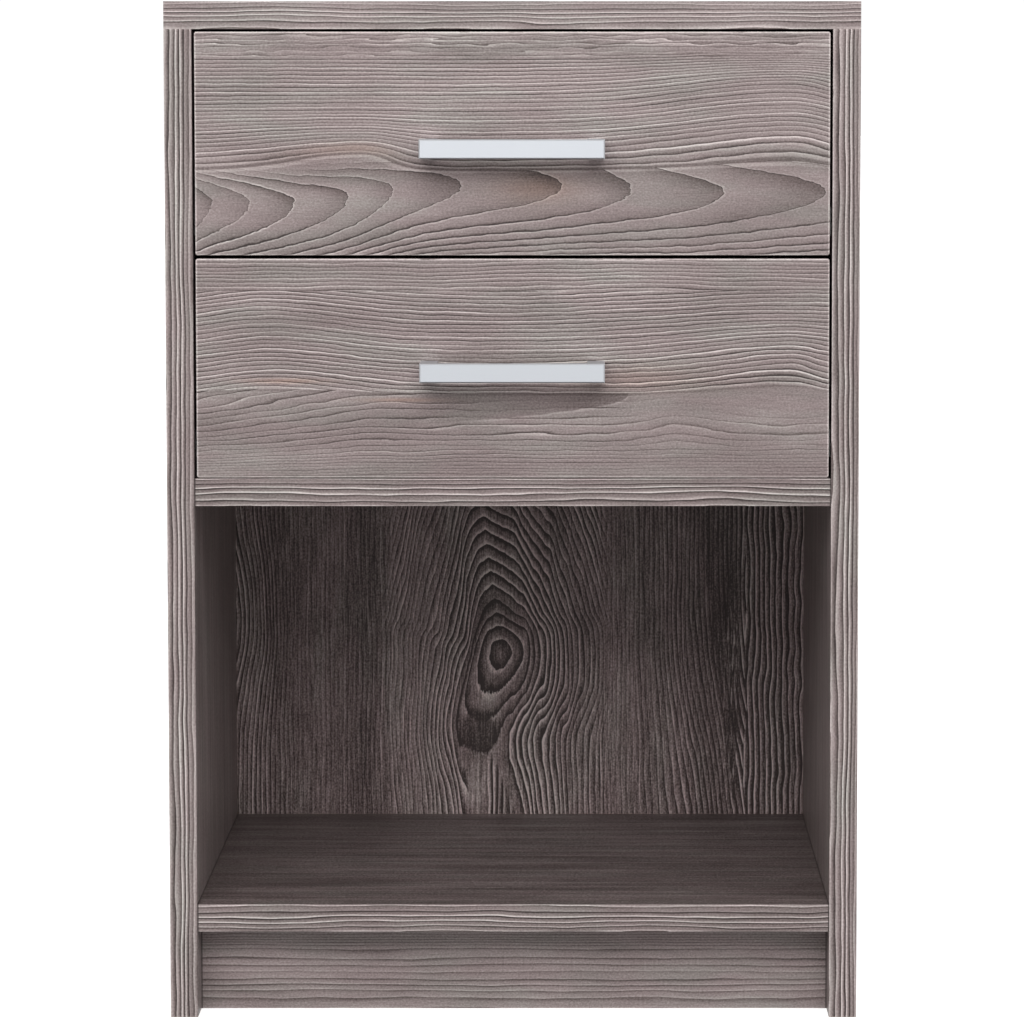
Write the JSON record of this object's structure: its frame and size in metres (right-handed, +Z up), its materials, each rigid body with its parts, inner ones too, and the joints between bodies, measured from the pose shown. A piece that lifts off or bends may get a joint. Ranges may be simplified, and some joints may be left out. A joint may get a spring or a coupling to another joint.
{
  "type": "nightstand with drawers",
  "caption": "Narrow bedside cabinet in grey-brown wood-grain board, with inset drawers on roller slides, slim bar handles, an open niche below them and a recessed plinth.",
  "frame": {"origin": "on the floor, under the middle of the outline with the handles included", "axes": "+Z up, -Y to the front with the drawers, +X to the right of someone facing the front"},
  "size_m": [0.4, 0.378, 0.59],
  "materials": {
    "carcass_melamine": "grey-brown smoked pine melamine on particle board, satin",
    "front_melamine": "grey-brown smoked pine melamine on particle board, satin",
    "back_hardboard": "hardboard with a matching smoked pine print",
    "drawer_box_board": "plain taupe melamine on particle board, matt",
    "drawer_bottom_hardboard": "taupe lacquered hardboard, matt",
    "beech_dowels": "fluted beech",
    "handle_aluminium": "satin anodised",
    "zinc_cams": "die-cast zinc alloy, dull",
    "steel_screws": "zinc-plated steel",
    "zinc_pins": "zinc-plated steel, riveted",
    "steel_nails": "bright steel",
    "rail_steel": "white epoxy powder coat",
    "roller_nylon": "white nylon"
  },
  "bodies": {
    "cabinet": {"back_panel": "back_hardboard", "back_panel_nails": "steel_nails", "bottom_shelf": "carcass_melamine", "cabinet_rail_screws": "steel_screws", "carcass_cam_bolts": "steel_screws", "carcass_cam_locks": "zinc_cams", "carcass_dowels": "beech_dowels", "front_roller_pins": "zinc_pins", "lower_cabinet_rail_left": "rail_steel", "lower_cabinet_rail_right": "rail_steel", "middle_shelf": "carcass_melamine", "plinth_board": "carcass_melamine", "side_panel_left": "carcass_melamine", "side_panel_right": "carcass_melamine", "top_panel": "carcass_melamine", "upper_cabinet_rail_left": "rail_steel", "upper_cabinet_rail_right": "rail_steel"},
    "upper_drawer": {"upper_drawer_back": "drawer_box_board", "upper_drawer_back_screws": "steel_screws", "upper_drawer_bottom": "drawer_bottom_hardboard", "upper_drawer_bottom_nails": "steel_nails", "upper_drawer_cam_bolts": "steel_screws", "upper_drawer_cam_locks": "zinc_cams", "upper_drawer_dowels": "beech_dowels", "upper_drawer_front": "front_melamine", "upper_drawer_rail_left": "rail_steel", "upper_drawer_rail_right": "rail_steel", "upper_drawer_rail_screws": "steel_screws", "upper_drawer_side_left": "drawer_box_board", "upper_drawer_side_right": "drawer_box_board", "upper_handle": "handle_aluminium", "upper_handle_screws": "steel_screws", "upper_rear_roller_pins": "zinc_pins"},
    "lower_drawer": {"lower_drawer_back": "drawer_box_board", "lower_drawer_back_screws": "steel_screws", "lower_drawer_bottom": "drawer_bottom_hardboard", "lower_drawer_bottom_nails": "steel_nails", "lower_drawer_cam_bolts": "steel_screws", "lower_drawer_cam_locks": "zinc_cams", "lower_drawer_dowels": "beech_dowels", "lower_drawer_front": "front_melamine", "lower_drawer_rail_left": "rail_steel", "lower_drawer_rail_right": "rail_steel", "lower_drawer_rail_screws": "steel_screws", "lower_drawer_side_left": "drawer_box_board", "lower_drawer_side_right": "drawer_box_board", "lower_handle": "handle_aluminium", "lower_handle_screws": "steel_screws", "lower_rear_roller_pins": "zinc_pins"},
    "upper_front_roller_left": {"upper_front_roller_left": "roller_nylon"},
    "upper_rear_roller_left": {"upper_rear_roller_left": "roller_nylon"},
    "upper_front_roller_right": {"upper_front_roller_right": "roller_nylon"},
    "upper_rear_roller_right": {"upper_rear_roller_right": "roller_nylon"},
    "lower_front_roller_left": {"lower_front_roller_left": "roller_nylon"},
    "lower_rear_roller_left": {"lower_rear_roller_left": "roller_nylon"},
    "lower_front_roller_right": {"lower_front_roller_right": "roller_nylon"},
    "lower_rear_roller_right": {"lower_rear_roller_right": "roller_nylon"}
  },
  "joints": [
    {"name": "upper_drawer_slide", "type": "slide", "parent": "cabinet", "child": "upper_drawer", "axis": [0, -1, 0], "range_m": [0, 0.23]},
    {"name": "lower_drawer_slide", "type": "slide", "parent": "cabinet", "child": "lower_drawer", "axis": [0, -1, 0], "range_m": [0, 0.23]},
    {"name": "upper_front_roller_left_spin", "type": "hinge", "parent": "cabinet", "child": "upper_front_roller_left", "pos_m": [-0.1789, -0.134, 0.46425], "axis": [1, 0, 0], "continuous": true},
    {"name": "upper_rear_roller_left_spin", "type": "hinge", "parent": "upper_drawer", "child": "upper_rear_roller_left", "pos_m": [-0.1766, 0.146, 0.4632], "axis": [1, 0, 0], "continuous": true},
    {"name": "upper_front_roller_right_spin", "type": "hinge", "parent": "cabinet", "child": "upper_front_roller_right", "pos_m": [0.1789, -0.134, 0.46425], "axis": [1, 0, 0], "continuous": true},
    {"name": "upper_rear_roller_right_spin", "type": "hinge", "parent": "upper_drawer", "child": "upper_rear_roller_right", "pos_m": [0.1766, 0.146, 0.4632], "axis": [1, 0, 0], "continuous": true},
    {"name": "lower_front_roller_left_spin", "type": "hinge", "parent": "cabinet", "child": "lower_front_roller_left", "pos_m": [-0.1789, -0.134, 0.33585], "axis": [1, 0, 0], "continuous": true},
    {"name": "lower_rear_roller_left_spin", "type": "hinge", "parent": "lower_drawer", "child": "lower_rear_roller_left", "pos_m": [-0.1766, 0.146, 0.3348], "axis": [1, 0, 0], "continuous": true},
    {"name": "lower_front_roller_right_spin", "type": "hinge", "parent": "cabinet", "child": "lower_front_roller_right", "pos_m": [0.1789, -0.134, 0.33585], "axis": [1, 0, 0], "continuous": true},
    {"name": "lower_rear_roller_right_spin", "type": "hinge", "parent": "lower_drawer", "child": "lower_rear_roller_right", "pos_m": [0.1766, 0.146, 0.3348], "axis": [1, 0, 0], "continuous": true}
  ],
  "couplings": [
    {"joint": "upper_front_roller_left_spin", "follows": "upper_drawer_slide", "rad_per_m": 132.45},
    {"joint": "upper_rear_roller_left_spin", "follows": "upper_drawer_slide", "rad_per_m": 153.85},
    {"joint": "upper_front_roller_right_spin", "follows": "upper_drawer_slide", "rad_per_m": 132.45},
    {"joint": "upper_rear_roller_right_spin", "follows": "upper_drawer_slide", "rad_per_m": 153.85},
    {"joint": "lower_front_roller_left_spin", "follows": "lower_drawer_slide", "rad_per_m": 132.45},
    {"joint": "lower_rear_roller_left_spin", "follows": "lower_drawer_slide", "rad_per_m": 153.85},
    {"joint": "lower_front_roller_right_spin", "follows": "lower_drawer_slide", "rad_per_m": 132.45},
    {"joint": "lower_rear_roller_right_spin", "follows": "lower_drawer_slide", "rad_per_m": 153.85}
  ]
}
